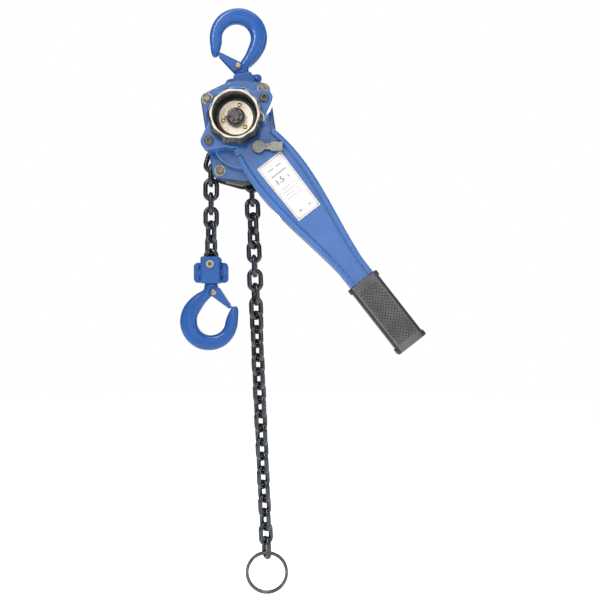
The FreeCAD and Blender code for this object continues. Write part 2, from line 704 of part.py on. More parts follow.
def load_sheave():
    """The pocket wheel: a grooved core, a lug between each pair of flat links, and two journals."""
    core, half = dim("sheave_hub_radius") - 1, 14
    end = dim("plate_far") + 0.2
    profile = [(-end - 10.5, 7.06), (-end - 10.5, 12), (-end, 12), (-end, 17), (-half, 17), (-half, core),
               (-4.4, core), (-4, 14.6), (4, 14.6), (4.4, core), (half, core), (half, 17), (end, 17),
               (end, 7.06)]
    wheel = turned(profile)
    first = math.degrees(math.pi - 2 * FLAT_HALF - UPRIGHT_HALF)
    for i in range(int(dim("sheave_pockets"))):
        for near, far in ((4.4, 13), (-13, -4.4)):
            lug = Part.makeBox(26 - core + 3, far - near, 4.6, V(core - 3, -far, -2.3))
            lug = lug.makeChamfer(1.2, [e for e in lug.Edges if e.BoundBox.XMin > 25.9])
            lug.rotate(V(0, 0, 0), V(0, -1, 0), first + 360 / dim("sheave_pockets") * i)
            wheel = wheel.fuse(lug)
    feature("load_sheave", wheel.removeSplitter(), AT_DRIVE)
    near = -end - dim("gear_width") - 2.5
    gear = toothed(int(dim("gear_teeth")), 90, 0, 0, near, near + dim("gear_width"))
    feature("load_gear", gear.cut(rod(0, 0, 12, -80, 80)), IN_FRAME)


def reduction_gears():
    """Two counter shafts that carry the drive from the pinion to the load gear."""
    width = dim("gear_width")
    slow_near = -dim("plate_far") - 0.2 - width - 2.5
    fast_far = slow_near - 3.5
    for name, side in (("reduction_gear_upper", 1), ("reduction_gear_lower", -1)):
        z = side * dim("gear_centres")
        gap_at = -90 * side
        fast = toothed(int(dim("gear_teeth")), gap_at + 6, 0, z, fast_far - width, fast_far)
        slow = toothed(int(dim("pinion_teeth")), gap_at + 18, 0, z, slow_near, slow_near + width)
        hub = rod(0, z, 5.8, fast_far - width, slow_near + width + 0.3)
        spindle = rod(0, z, 5, -dim("gear_cover_far") + 0.9, -dim("plate_near") - 0.3)
        feature(name, fast.fuse([slow, hub, spindle]).removeSplitter(), IN_FRAME)


def drive_parts():
    """The drive shaft with its pinion, and the brake and lever pieces fixed on it."""
    width = dim("gear_width")
    pinion_far = -dim("plate_far") - 0.2 - width - 2.5 - 3.5
    radius = dim("shaft_radius")
    pinion = toothed(int(dim("pinion_teeth")), 90, 0, 0, pinion_far - width - 0.6, pinion_far + 0.6)
    boss_far = dim("boss_far")
    pin_level = boss_far + 5.4
    shaft = rod(0, 0, radius, pinion_far, boss_far - 4).fuse([
        rod(0, 0, 5.5, pinion_far - width - 8, pinion_far), rod(0, 0, 5.8, boss_far - 4, boss_far + 8.6),
        pinion])
    cross_hole = Part.makeCylinder(0.92, 30, V(-15, -pin_level, 0), V(1, 0, 0))
    feature("drive_pinion_shaft", shaft.cut(cross_hole).removeSplitter(), IN_FRAME)
    hub = turned([(25.2, radius), (25.2, 24), (28, 24), (28, 12), (44, 12), (44, radius)])
    feature("friction_hub", hub, IN_FRAME)
    teeth_near, teeth_far = 48.8, 58
    profile = [(38, 12), (38, 24), (40.6, 24), (40.6, 16.9), (teeth_near, 16.9), (teeth_near, 20),
               (teeth_far, 20), (teeth_far, 15), (75.5, 15), (75.5, 9), (boss_far, 9), (boss_far, radius),
               (44.2, radius), (44.2, 12)]
    gear = turned(profile)
    for i in range(12):
        tooth = Part.makeBox(6, teeth_far - teeth_near, 6.4, V(19, -teeth_far, -3.2))
        tooth = tooth.makeChamfer(1.2, [e for e in tooth.Edges if e.BoundBox.XMin > 24.9])
        tooth.rotate(V(0, 0, 0), Y_AXIS, 30 * i + 15)
        gear = gear.fuse(tooth)
    feature("lever_gear", gear.removeSplitter(), IN_LEVER)
    nut = turned([(boss_far, 5.8), (boss_far, 13), (boss_far + 1, 13), (boss_far + 1.6, 10.5),
                  (boss_far + 2.6, 10), (boss_far + 7.2, 10), (boss_far + 7.2, 5.8)])
    for i in range(3):
        slot = Part.makeBox(26, 4, 2.6, V(-13, -boss_far - 7.8, -1.3))
        slot.rotate(V(0, 0, 0), Y_AXIS, 60 * i)
        nut = nut.cut(slot)
    feature("castle_nut", nut.removeSplitter(), IN_FRAME)
    legs = Part.makeCylinder(0.9, 23, V(-11.5, -pin_level, 0), V(1, 0, 0))
    eye = Part.makeTorus(1.7, 0.9, V(-13, -pin_level, 0), Y_AXIS)
    feature("split_pin", legs.fuse(eye).removeSplitter(), IN_FRAME)


def coil(radius, wire, near, far, turns, x=0, z=0):
    """A helical spring along the depth, with an eight-sided wire."""
    height = far - near - 2 * wire
    helix = Part.makeHelix(height / turns, height, radius)
    corners = [V(radius + wire * math.cos(math.pi / 4 * (i + 0.5)), 0,
                 wire * math.sin(math.pi / 4 * (i + 0.5))) for i in range(8)]
    section = Part.makePolygon(corners + corners[:1])
    solid = Part.Wire(helix.Edges).makePipeShell([section], True, True)
    solid.rotate(V(0, 0, 0), V(1, 0, 0), 90)
    return Part.makeCompound([solid.translated(V(x, -near - wire, z))])


def springs():
    seat = dim("wheel_near") + dim("wheel_floor") + 1.6
    feature("free_chain_spring", coil(11, 0.45, seat + 0.2, dim("boss_far") - 0.2, 2), AT_DRIVE)
    coils = [coil(4.4, 0.5, 36.2, 39.6, 2.5, x, z) for x, z in pawl_pivots()]
    feature("pawl_springs", Part.makeCompound(coils), IN_FRAME)


# ---------------------------------------------------------------- brake
def pawl_pivots():
    """The two pawl posts, in the frame's upright axes."""
    first = dim("pawl_post_angle")
    eight_teeth_back = first - 8 * 360 / dim("ratchet_teeth")
    reach = dim("pawl_post_reach")
    return [(reach * math.cos(math.radians(a)), reach * math.sin(math.radians(a)))
            for a in (first, eight_teeth_back)]


def brake_ratchet():
    """Ratchet disc with saw teeth, between two friction discs, loose on the friction hub."""
    tip, root, teeth = dim("ratchet_radius"), dim("ratchet_radius") - 3.5, int(dim("ratchet_teeth"))
    step = 2 * math.pi / teeth
    points = []
    engaged = math.radians(dim("pawl_post_angle") - dim("pawl_sweep")) - 1.7 / root
    for i in range(teeth):
        angle = engaged - i * step
        points.append((root * math.cos(angle), root * math.sin(angle)))
        points.append((tip * math.cos(angle - 0.03), tip * math.sin(angle - 0.03)))
        points.append(((root + tip) / 2 * math.cos(angle - step / 2),
                       (root + tip) / 2 * math.sin(angle - step / 2)))
    body = new_body("ratchet_disc")
    pad(body, "ratchet_disc_teeth", polygon(points) + [circle(0, 0, 12.08)], 30, 36)
    keep(body, "ratchet_disc", IN_FRAME)
    discs = []
    for near, far in ((28.1, 30), (36, 37.9)):
        discs.append(rod(0, 0, dim("friction_radius"), near, far).cut(rod(0, 0, 12.08, 20, 40)))
    feature("friction_discs", Part.makeCompound(discs), IN_FRAME)


def pawls():
    posts = []
    for name, (x, z) in zip(("pawl_left", "pawl_lower"), pawl_pivots()):
        along = math.atan2(z, x) - math.radians(dim("pawl_sweep"))
        tip_x, tip_z = 27.6 * math.cos(along), 27.6 * math.sin(along)
        body = new_body(name)
        arm = belt([(x, z, 4.6), (tip_x, tip_z, 1.3)])
        pad(body, name + "_arm", arm + [circle(x, z, 3.06)], 30.2, 35.8)
        keep(body, name, IN_FRAME)
        post = rod(x, z, 3, dim("plate_near"), 41).fuse([rod(x, z, 5.4, 28, 30), rod(x, z, 3.6, 36, 41)])
        posts.append(post.removeSplitter())
    feature("pawl_posts", Part.makeCompound(posts), IN_FRAME)


# ---------------------------------------------------------------- hand wheel
def lobed_wire(radius, lobe, forward, lobes=10, phase=33):
    """A closed smooth outline with soft lobes, at one distance forward."""
    points = []
    count = 6 * lobes
    for i in range(count):
        angle = 2 * math.pi * i / count
        reach = radius - lobe * (1 - math.cos(lobes * (angle - math.radians(phase)))) / 2
        points.append(V(reach * math.cos(angle), -forward, reach * math.sin(angle)))
    curve = Part.BSplineCurve()
    curve.interpolate(points, PeriodicFlag=True)
    return Part.Wire(curve.toShape())


def hand_wheel():
    """A cup with a lobed wall, the zinc-plated plate on its floor, and three screws."""
    near, far = dim("wheel_near"), dim("wheel_far")
    rim, base = dim("wheel_rim_radius"), dim("wheel_base_radius")
    wires = [lobed_wire(base - 1.2, 2.4, near), lobed_wire(base, 3, near + 5),
             lobed_wire(rim + 0.6, 2.6, far - 2.5), lobed_wire(rim - 0.6, 2.2, far)]
    cup = Part.makeLoft(wires, True, False)
    bore = dim("wheel_bore_radius")
    floor = near + dim("wheel_floor")
    inside = turned([(floor, 0), (floor, bore - 3), (floor + 4, bore - 1.2), (far - 2, bore),
                     (far + 1, bore + 1.5), (far + 1, 0)])
    cup = cup.cut(inside).cut(rod(0, 0, 13.4, near - 1, far))
    spots = []
    for angle in (74, 194, 314):
        reach = dim("wheel_screw_circle")
        spots.append((reach * math.cos(math.radians(angle)), reach * math.sin(math.radians(angle))))
    for x, z in spots:
        cup = cup.cut(rod(x, z, 1.8, near - 1, far))
    feature("hand_wheel", cup.removeSplitter(), AT_DRIVE)
    body = new_body("wheel_plate")
    edges = [circle(0, 0, dim("wheel_plate_radius")), circle(0, 0, dim("wheel_plate_hole"))]
    pad(body, "wheel_plate_blank", edges + [circle(x, z, 1.8) for x, z in spots], floor, floor + 1.6)
    keep(body, "wheel_plate", AT_DRIVE)
    screws = []
    for x, z in spots:
        screw = rod(x, z, 1.8, near + 0.3, floor + 1.6)
        head = turned([(floor + 1.6, 0), (floor + 1.6, 3.2), (floor + 2.6, 3.1), (floor + 3.6, 1.6),
                       (floor + 3.7, 0)], V(x, 0, z))
        slot = Part.makeBox(7, 1, 0.9, V(x - 3.5, -floor - 3.9, z - 0.45))
        screws.append(screw.fuse(head).cut(slot).removeSplitter())
    feature("wheel_screws", Part.makeCompound(screws), AT_DRIVE)


# ---------------------------------------------------------------- lever, grip and selector
# Drawn with the lever along +X from the drive axis, then turned down by IN_LEVER.
def flat_face(edges):
    face = Part.Face(Part.Wire([edge.toShape() for edge in edges]))
    face.rotate(V(0, 0, 0), V(1, 0, 0), 90)
    return face


def lever_shank():
    """Half widths along the lever, from the head to its end."""
    return [(30, 30), (150, 35.5), (228, 23.5), (262, 19.6), (dim("lever_length") - 5, 19.2)]


def lever_faces(inset, lobes):
    """The lever's outline, pulled in by inset, as faces in the XZ plane."""
    head = dim("lever_head_radius") - inset
    screw, lobe = dim("lever_screw_reach"), dim("lever_lobe_radius")
    faces = [flat_face(belt([(0, 0, head), (0.01, 0, head)]))]
    if lobes:
        for side in (-1, 1):
            faces.append(flat_face(belt([(0, side * screw, lobe), (0, side * 10, 30)])))
    upper = [V(u, v - inset, 0) for u, v in lever_shank()]
    upper[-1].x -= inset
    lower = [V(point.x, -point.y, 0) for point in upper[::-1]]
    top, bottom = Part.BSplineCurve(), Part.BSplineCurve()
    top.interpolate(upper[:4])
    bottom.interpolate(lower[1:])
    edges = [top, Part.LineSegment(upper[3], upper[4]), Part.LineSegment(upper[4], lower[0]),
             Part.LineSegment(lower[0], lower[1]), bottom, Part.LineSegment(lower[-1], upper[0])]
    faces.append(flat_face(edges))
    return faces


def lever_slab(inset, lobes, near, far):
    """A slab of the lever's outline between two distances forward."""
    solids = [face.extrude(V(0, near - far, 0)).translated(V(0, -near, 0))
              for face in lever_faces(inset, lobes)]
    return solids[0].fuse(solids[1:]).removeSplitter()


def soften(solid, level, radius):
    """Rounds every edge that lies flat at one distance forward."""
    edges = [e for e in solid.Edges if abs(e.BoundBox.YMin + level) < 1e-4 and e.BoundBox.YLength < 1e-4]
    return solid.makeFillet(radius, edges)


def thin_end(level, outward):
    """The block to cut away where the lever thins towards the grip, on one side."""
    edge = 20 * outward
    points = [(236, -level - edge * 0.2), (262, -level), (420, -level), (420, -level - edge),
              (236, -level - edge)]
    corners = [V(u, y, -60) for u, y in points]
    return Part.Face(Part.makePolygon(corners + corners[:1])).extrude(V(0, 0, 120))


def side_rails():
    """The two rounded rails that stiffen the lever's front, from the head to the grip."""
    base, top = dim("lever_face") - 4, dim("rail_top")
    start, end = 42, dim("grip_start") - 0.3
    shank = lever_faces(0.3, False)[-1].extrude(V(0, base - top, 0)).translated(V(0, -base, 0))
    curve = [V(u, v, 0) for u, v in ((30, 21.4), (150, 25.3), (228, 14.4), (262, 11.8), (300, 11.6))]
    mirrored = [V(point.x, -point.y, 0) for point in curve[::-1]]
    upper, lower = Part.BSplineCurve(), Part.BSplineCurve()
    upper.interpolate(curve)
    lower.interpolate(mirrored)
    between = flat_face([upper, Part.LineSegment(curve[-1], mirrored[0]), lower,
                         Part.LineSegment(mirrored[-1], curve[0])])
    trough = between.extrude(V(0, -20, 0)).translated(V(0, 10 - top, 0))
    blocks = [Part.makeBox(40, 20, 100, V(start - 40, -top - 1, -50)),
              Part.makeBox(200, 20, 100, V(end, -top - 1, -50))]
    rails = shank.cut([trough] + blocks)
    ends = [e for e in rails.Edges if e.BoundBox.YLength > 1 and e.BoundBox.XMax < start + 1]
    return soften(rails.makeFillet(3.2, ends), top, 2.8)


def lever_shells():
    """Front and rear pressings of the lever, bolted together at the head."""
    wall = dim("sheet_wall")
    near, split, face = dim("lever_near"), dim("lever_split"), dim("lever_face")
    core = (dim("grip_core_near"), dim("grip_core_far"))
    front = soften(lever_slab(0, True, split, face), face, 2).fuse(side_rails())
    front = front.cut([lever_slab(wall, False, split - 1, face - wall), rod(0, 0, 15.06, 0, 90),
                       rod(dim("selector_reach"), 0, 4.06, 0, 90),
                       Part.makeBox(140, 20, 80, V(dim("grip_start") - 0.3, -core[1] - 20, -40))])
    rear = lever_slab(0, True, near, split).cut([lever_slab(wall, False, near + wall, split + 1),
                                                 rod(0, 0, 17.0, 0, 90), thin_end(core[0], -1)])
    holes = [rod(0, side * dim("lever_screw_reach"), 3, 0, 90) for side in (-1, 1)]
    rivet_holes = [rod(x, z, 1, split, 90) for x, z in plate_rivet_spots()]
    feature("lever_front_shell", front.cut(holes + rivet_holes).removeSplitter(), IN_LEVER)
    feature("lever_rear_shell", rear.cut(holes).removeSplitter(), IN_LEVER)


def lever_screws():
    """Socket screws through the head's two lobes, with nuts behind."""
    near, far = dim("lever_near"), dim("lever_face")
    screws = []
    for side in (-1, 1):
        z = side * dim("lever_screw_reach")
        head = rod(0, z, 6.5, far, far + 4)
        head = head.makeChamfer(0.8, [e for e in head.Edges if abs(e.BoundBox.YMax + far + 4) < 1e-4])
        head = head.cut(hexagon_bar(0, z, 5, far + 1.5, far + 5))
        shank = rod(0, z, 3, near - 1.2, far)
        screws.append(shank.fuse(head).removeSplitter())
    feature("lever_screws", Part.makeCompound(screws), IN_LEVER)


def plate_rivet_spots():
    return [(77, 18), (77, -18), (120, 17.4), (120, -17.4), (162, 16.3), (162, -16.3)]


def name_plate():
    level = dim("lever_face")
    body = new_body("data_plate")
    holes = [circle(x, z, 1) for x, z in plate_rivet_spots()]
    pad(body, "data_plate_blank", polygon([(73, -20.8), (166, -19), (166, 19), (73, 20.8)]) + holes,
        level, level + 0.8)
    keep(body, "data_plate", IN_LEVER)
    rivets = []
    for x, z in plate_rivet_spots():
        rivets.append(turned([(level - 2, 0), (level - 2, 1), (level + 0.8, 1), (level + 0.8, 1.8),
                              (level + 1.4, 1.4), (level + 1.7, 0)], V(x, 0, z)))
    feature("data_plate_rivets", Part.makeCompound(rivets), IN_LEVER)


def lever_grip():
    """A moulded rubber sleeve with a lip at each end, over the lever's thin end."""
    start, end = dim("grip_start"), dim("lever_length")
    width, depth = dim("grip_width"), dim("grip_depth")
    middle = dim("lever_split")
    body = Part.makeBox(end - start, depth, width, V(start, -middle - depth / 2, -width / 2))
    body = body.makeFillet(5, [e for e in body.Edges if e.BoundBox.XLength > 50])
    for u in (start, end - 8):
        lip = Part.makeBox(8, depth + 2.4, width + 4, V(u, -middle - depth / 2 - 1.2, -width / 2 - 2))
        lip = lip.makeFillet(5.5, [e for e in lip.Edges if e.BoundBox.XLength > 7])
        body = body.fuse(lip)
    core = lever_slab(0, False, dim("grip_core_near"), dim("grip_core_far"))
    feature("lever_grip", body.cut(core).removeSplitter(), IN_LEVER)


def selector():
    """The selector knob outside the lever, and the two-armed pawl that it turns inside."""
    reach = dim("selector_reach")
    hub = dim("selector_hub_radius")
    base = dim("lever_face") + 0.3
    knob = rod(reach, 0, hub, base, base + 10)
    knob = knob.makeFillet(1.2, [e for e in knob.Edges if abs(e.BoundBox.YMax + base + 10) < 1e-4])
    arm_level = dim("rail_top") + 0.7
    top_level = base + 10
    neck = Part.makeBox(12, top_level - 0.6 - arm_level, 8, V(reach + 6, 0.6 - top_level, -4))
    block = Part.makeBox(17.5, top_level - arm_level, 13, V(reach + 16.5, -top_level, -6.5))
    block = block.makeFillet(1.4, [e for e in block.Edges if e.BoundBox.YLength > 5 or
                                   e.BoundBox.YMax < 1e-3 - top_level])
    arm = neck.fuse(block)
    arm.rotate(V(reach, 0, 0), V(0, -1, 0), 52)
    stem = rod(reach, 0, 4, 51, base)
    feature("selector_knob", knob.fuse([arm, stem]).removeSplitter(), IN_LEVER)
    arms = []
    for angle in (120, -120):
        tip_x = reach + 26.5 * math.cos(math.radians(angle))
        tip_z = 26.5 * math.sin(math.radians(angle))
        arms.append(flat_face(belt([(reach, 0, 8), (tip_x, tip_z, 1.8)])).extrude(V(0, -8, 0)))
    pawl = arms[0].fuse(arms[1]).translated(V(0, -50, 0)).cut(rod(reach, 0, 4, 0, 90))
    feature("selector_pawl", pawl.removeSplitter(), IN_LEVER)
    plunger = rod(reach + 14, 0, 1.8, 59.5, dim("lever_face") - 3)
    feature("detent_plunger", plunger, IN_LEVER)


# ---------------------------------------------------------------- assemble, check and write
wrapped_links()
LAST_LINK = load_run()
end_ring(tail_run())
hook_set("top", AT_TOP_HOOK)
top_yoke()
hook_set("bottom", bottom_block(LAST_LINK))
side_plates()
cup_cover("brake_cover", 1, [(0, 10, 45), (0, -24, 41)], dim("cover_far"), 18)
cup_cover("gear_cover", -1, [(0, 26, 35.5), (0, -30, 34)], dim("gear_cover_far"), None)
stay_hardware()
chain_guides()
sheave_bearings()
load_sheave()
reduction_gears()
drive_parts()
springs()
brake_ratchet()
pawls()
hand_wheel()
lever_shells()
lever_screws()
name_plate()
lever_grip()
selector()
doc.recompute()

for obj in doc.Objects:
    if "Invalid" in obj.State or "Error" in obj.State:
        raise RuntimeError("%s did not recompute" % obj.Name)
os.makedirs(OUT_DIR, exist_ok=True)
for part in subparts:
    if part.Shape.isNull() or not part.Shape.isValid():
        raise RuntimeError("%s has no valid shape" % part.Label)
    part.Shape.exportStep(os.path.join(OUT_DIR, part.Label + ".step"))
print(len(subparts), "sub-parts")
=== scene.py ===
"""Looks for the lever chain hoist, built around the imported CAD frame.

Metres. +Z is up, the hoist's front faces -Y, and the origin is the top hook's saddle.
"""

import math

import bmesh
import bpy
from mathutils import Matrix, Vector


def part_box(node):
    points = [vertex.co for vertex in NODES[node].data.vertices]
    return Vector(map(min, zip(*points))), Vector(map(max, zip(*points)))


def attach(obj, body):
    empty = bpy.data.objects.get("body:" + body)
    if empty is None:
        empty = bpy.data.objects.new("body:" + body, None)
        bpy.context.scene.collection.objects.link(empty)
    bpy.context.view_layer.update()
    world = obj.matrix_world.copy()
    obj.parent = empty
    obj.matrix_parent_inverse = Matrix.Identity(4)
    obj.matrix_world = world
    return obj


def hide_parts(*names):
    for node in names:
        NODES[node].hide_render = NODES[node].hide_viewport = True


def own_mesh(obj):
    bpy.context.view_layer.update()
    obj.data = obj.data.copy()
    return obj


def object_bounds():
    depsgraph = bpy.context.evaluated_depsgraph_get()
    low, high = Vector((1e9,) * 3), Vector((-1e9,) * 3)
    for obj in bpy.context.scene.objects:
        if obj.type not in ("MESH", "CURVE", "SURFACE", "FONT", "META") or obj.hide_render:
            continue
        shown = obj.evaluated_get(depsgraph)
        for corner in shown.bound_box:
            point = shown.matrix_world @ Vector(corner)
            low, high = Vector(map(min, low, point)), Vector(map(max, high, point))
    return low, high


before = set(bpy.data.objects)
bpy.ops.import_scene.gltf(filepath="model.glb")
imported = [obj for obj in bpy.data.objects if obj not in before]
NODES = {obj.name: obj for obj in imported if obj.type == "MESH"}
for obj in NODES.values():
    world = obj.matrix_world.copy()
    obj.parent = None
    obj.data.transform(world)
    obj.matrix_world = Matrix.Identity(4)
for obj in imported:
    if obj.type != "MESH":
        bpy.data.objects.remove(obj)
CAD_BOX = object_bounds()
MM = 0.001


def middle(node):
    low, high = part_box(node)
    return (low + high) / 2


def place_object(name, data):
    """Adds an object with this data to the scene."""
    result = bpy.data.objects.new(name, data)
    bpy.context.scene.collection.objects.link(result)
    return result


DRIVE_AXIS = middle("castle_nut")
LEVER_ANGLE = math.radians(52)
# the lever's own axes in the row frame: along it, across it and forward
ALONG = Vector((math.cos(LEVER_ANGLE), 0, -math.sin(LEVER_ANGLE)))
ACROSS = Vector((math.sin(LEVER_ANGLE), 0, math.cos(LEVER_ANGLE)))
FORWARD = Vector((0, -1, 0))
ON_LEVER = Matrix((
    (ALONG.x, ACROSS.x, FORWARD.x, DRIVE_AXIS.x),
    (ALONG.y, ACROSS.y, FORWARD.y, 0),
    (ALONG.z, ACROSS.z, FORWARD.z, DRIVE_AXIS.z),
    (0, 0, 0, 1)))
# the grip, in millimetres along the lever and forward of the middle plane
GRIP_START, GRIP_END = 286.0, 400.0
GRIP_MIDDLE = 60.0
# the spacing of the grip mesh's points, and of its grooves, in millimetres
STEP = 0.7
HATCH_PITCH = STEP * 8
# the camera, and the point the lights aim at
CAMERA_PLACE = (0.0948, -1.16, -0.411)
SENSOR_WIDTH, FOCAL_LENGTH = 36, 46.7
LIT_POINT = (0.05, 0, -0.3)


# ---------------------------------------------------------------- stage
def make_camera():
    """A level camera in front of the hoist, at the middle of its height."""
    data = bpy.data.cameras.new("camera")
    camera = place_object("camera", data)
    camera.location = CAMERA_PLACE
    camera.rotation_euler = (math.radians(90), 0, 0)
    data.sensor_width = SENSOR_WIDTH
    data.lens = FOCAL_LENGTH
    data.clip_end = 20
    bpy.context.scene.camera = camera


def soft_box(name, place, size, power):
    """An area light that faces the hoist."""
    data = bpy.data.lights.new(name, "AREA")
    data.shape = "RECTANGLE"
    data.size, data.size_y = size
    data.energy = power
    lamp = place_object(name, data)
    lamp.location = place
    toward = Vector(LIT_POINT) - Vector(place)
    lamp.rotation_euler = toward.to_track_quat("-Z", "Y").to_euler()


def make_stage():
    """White surroundings that light the hoist only a little, soft boxes, and a pale floor."""
    bpy.context.scene.view_settings.view_transform = "Standard"
    world = bpy.data.worlds.new("studio")
    bpy.context.scene.world = world
    world.use_nodes = True
    nodes, links = world.node_tree.nodes, world.node_tree.links
    background = nodes["Background"]
    background.inputs["Color"].default_value = (1, 1, 1, 1)
    sight = nodes.new("ShaderNodeLightPath")
    strength = nodes.new("ShaderNodeMapRange")
    strength.inputs["To Min"].default_value = 0.22
    strength.inputs["To Max"].default_value = 1.0
    links.new(sight.outputs["Is Camera Ray"], strength.inputs["Value"])
    links.new(strength.outputs["Result"], background.inputs["Strength"])
    soft_box("key", (-0.75, -1.5, 0.9), (0.28, 1.5), 27)
    soft_box("fill", (1.5, -1.1, 0.0), (0.2, 1.8), 12)
    soft_box("front", (0.2, -2.4, 0.05), (1.3, 1.3), 8)
    soft_box("top", (0.1, -0.5, 1.4), (1.2, 0.4), 14)
    soft_box("back", (0.5, 1.8, 0.5), (1.6, 1.6), 20)
    data = bpy.data.meshes.new("floor")
    half = 4.0
    clearance = 0.12
    level = CAD_BOX[0][2] - clearance
    data.from_pydata([(-half, -half, level), (half, -half, level), (half, half, level),
                      (-half, half, level)], [], [(0, 1, 2, 3)])
    floor = place_object("floor", data)
    sweep = Graph("floor_pale", (0.9, 0.9, 0.9), 0.9, 0)
    sweep.shader.inputs["Specular IOR Level"].default_value = 0.0
    sweep.shader.inputs["Emission Color"].default_value = (1, 1, 1, 1)
    sweep.shader.inputs["Emission Strength"].default_value = 0.75
    floor.data.materials.append(sweep.material)


# ---------------------------------------------------------------- material helpers
class Graph:
    """A material's node tree, with short calls for the nodes used here."""

    def __init__(self, name, base, roughness, metallic):
        self.material = bpy.data.materials.new(name)
        self.material.use_nodes = True
        self.tree = self.material.node_tree
        self.shader = self.tree.nodes["Principled BSDF"]
        self.shader.inputs["Base Color"].default_value = (*base, 1)
        self.shader.inputs["Roughness"].default_value = roughness
        self.shader.inputs["Metallic"].default_value = metallic
        self.position = self.tree.nodes.new("ShaderNodeTexCoord").outputs["Object"]

    def link(self, source, target):
        self.tree.links.new(source, target)

    def noise(self, scale, detail=4):
        node = self.tree.nodes.new("ShaderNodeTexNoise")
        node.inputs["Scale"].default_value = scale
        node.inputs["Detail"].default_value = detail
        node.inputs["Roughness"].default_value = 0.55
        self.link(self.position, node.inputs["Vector"])
        return node.outputs["Fac"]

    def from_drive_axis(self):
        """The position, counted from the drive axis."""
        node = self.tree.nodes.new("ShaderNodeMapping")
        node.vector_type = "POINT"
        node.inputs["Location"].default_value = (-DRIVE_AXIS.x, 0, -DRIVE_AXIS.z)
        self.link(self.position, node.inputs["Vector"])
        return node.outputs["Vector"]

    def ramp(self, source, stops):
        """stops: (position, (r, g, b)) pairs."""
        node = self.tree.nodes.new("ShaderNodeValToRGB")
        band = node.color_ramp
        while len(band.elements) < len(stops):
            band.elements.new(0.5)
        for element, (place, colour) in zip(band.elements, stops):
            element.position = place
            element.color = (*colour, 1)
        self.link(source, node.inputs["Fac"])
        return node.outputs["Color"]

    def span(self, source, low, high, out_low=0.0, out_high=1.0):
        node = self.tree.nodes.new("ShaderNodeMapRange")
        node.inputs["From Min"].default_value = low
        node.inputs["From Max"].default_value = high
        node.inputs["To Min"].default_value = out_low
        node.inputs["To Max"].default_value = out_high
        self.link(source, node.inputs["Value"])
        return node.outputs["Result"]

    def math(self, kind, a, b=None):
        node = self.tree.nodes.new("ShaderNodeMath")
        node.operation = kind
        for socket, value in zip(node.inputs, (a, b)):
            if value is None:
                continue
            if isinstance(value, (int, float)):
                socket.default_value = value
            else:
                self.link(value, socket)
        return node.outputs["Value"]

    def mix(self, mask, first, second):
        """Two colours mixed by a mask; each is a socket or an (r, g, b)."""
        node = self.tree.nodes.new("ShaderNodeMix")
        node.data_type = "RGBA"
        self.link(mask, node.inputs["Factor"])
        for name, value in (("A", first), ("B", second)):
            socket = [s for s in node.inputs if s.name == name and s.type == "RGBA"][0]
            if isinstance(value, tuple):
                socket.default_value = (*value, 1)
            else:
                self.link(value, socket)
        return [s for s in node.outputs if s.type == "RGBA"][0]

    def axis(self, name):
        node = self.tree.nodes.new("ShaderNodeSeparateXYZ")
        self.link(self.position, node.inputs["Vector"])
        return node.outputs[name]

    def beside(self, centre):
        """How far a point is from the centre along X and along Z."""
        return (self.math("SUBTRACT", self.axis("X"), centre.x),
                self.math("SUBTRACT", self.axis("Z"), centre.z))

    def radius_about(self, centre):
        """Distance from the line along Y through the centre."""
        x, z = self.beside(centre)
        squared = self.math("ADD", self.math("MULTIPLY", x, x), self.math("MULTIPLY", z, z))
        return self.math("SQRT", squared)

    def bump(self, height, depth, strength):
        node = self.tree.nodes.new("ShaderNodeBump")
        node.inputs["Strength"].default_value = strength
        node.inputs["Distance"].default_value = depth
        self.link(height, node.inputs["Height"])
        previous = self.shader.inputs["Normal"]
        if previous.is_linked:
            self.link(previous.links[0].from_socket, node.inputs["Normal"])
        self.link(node.outputs["Normal"], previous)

    def colour(self, source):
        self.link(source, self.shader.inputs["Base Color"])

    def rough(self, source):
        self.link(source, self.shader.inputs["Roughness"])

    def coat(self, amount, roughness):
        self.shader.inputs["Coat Weight"].default_value = amount
        self.shader.inputs["Coat Roughness"].default_value = roughness


def lobes_about_drive(g, count, phase):
    """A wave with count crests round the drive axis, from -1 to 1."""
    x, z = g.beside(DRIVE_AXIS)
    turned = g.math("SUBTRACT", g.math("ARCTAN2", z, x), math.radians(phase))
    return g.math("COSINE", g.math("MULTIPLY", turned, count))


def edge_wear(g, radius=0.5 * MM):
    """Rounds the look of hard edges, and returns a broken-up mask that is high along them."""
    bevel = g.tree.nodes.new("ShaderNodeBevel")
    bevel.samples = 4
    bevel.inputs["Radius"].default_value = radius
    geometry = g.tree.nodes.new("ShaderNodeNewGeometry")
    match = g.tree.nodes.new("ShaderNodeVectorMath")
    match.operation = "DOT_PRODUCT"
    g.link(bevel.outputs["Normal"], match.inputs[0])
    g.link(geometry.outputs["Normal"], match.inputs[1])
    g.link(bevel.outputs["Normal"], g.shader.inputs["Normal"])
    edge = g.span(match.outputs["Value"], 0.97, 0.86)
    return g.math("MULTIPLY", edge, g.span(g.noise(420, 5), 0.48, 0.66))


